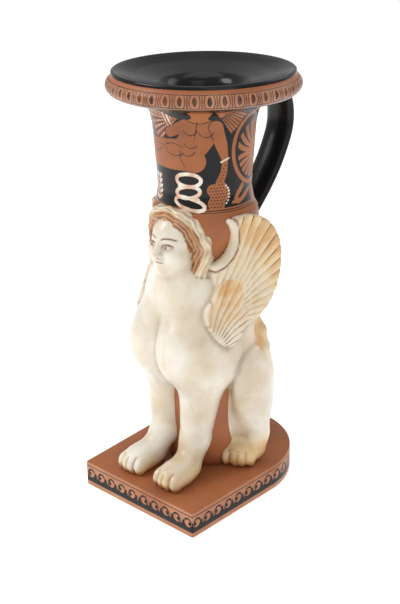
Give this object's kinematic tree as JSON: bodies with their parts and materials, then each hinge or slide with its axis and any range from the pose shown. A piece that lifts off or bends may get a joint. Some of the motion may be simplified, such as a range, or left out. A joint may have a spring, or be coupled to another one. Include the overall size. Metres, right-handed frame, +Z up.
{
  "type": "sphinx-shaped vase",
  "caption": "Pottery vase carried by a seated winged sphinx on a round-backed plinth, with a painted neck, a broad moulded rim and a strap handle behind.",
  "frame": {"origin": "on the vase's axis at the plinth's underside, which stands on the ground", "axes": "+Z up along the vase's axis, -Y towards the front, the way the sphinx faces, +X towards the sphinx's left"},
  "size_m": [0.1288, 0.1618, 0.3],
  "materials": {
    "plinth_clay": "satin fired terracotta with a painted black wave band",
    "vase_clay": "satin fired terracotta with black gloss ground, red figures and added white",
    "white_slip": "satin cream-white slip with orange-brown washes and brown lines",
    "black_gloss": "glossy black slip"
  },
  "bodies": {
    "root": {"plinth": "plinth_clay", "vase": "vase_clay", "sphinx": "white_slip", "handle": "black_gloss"}
  },
  "joints": []
}
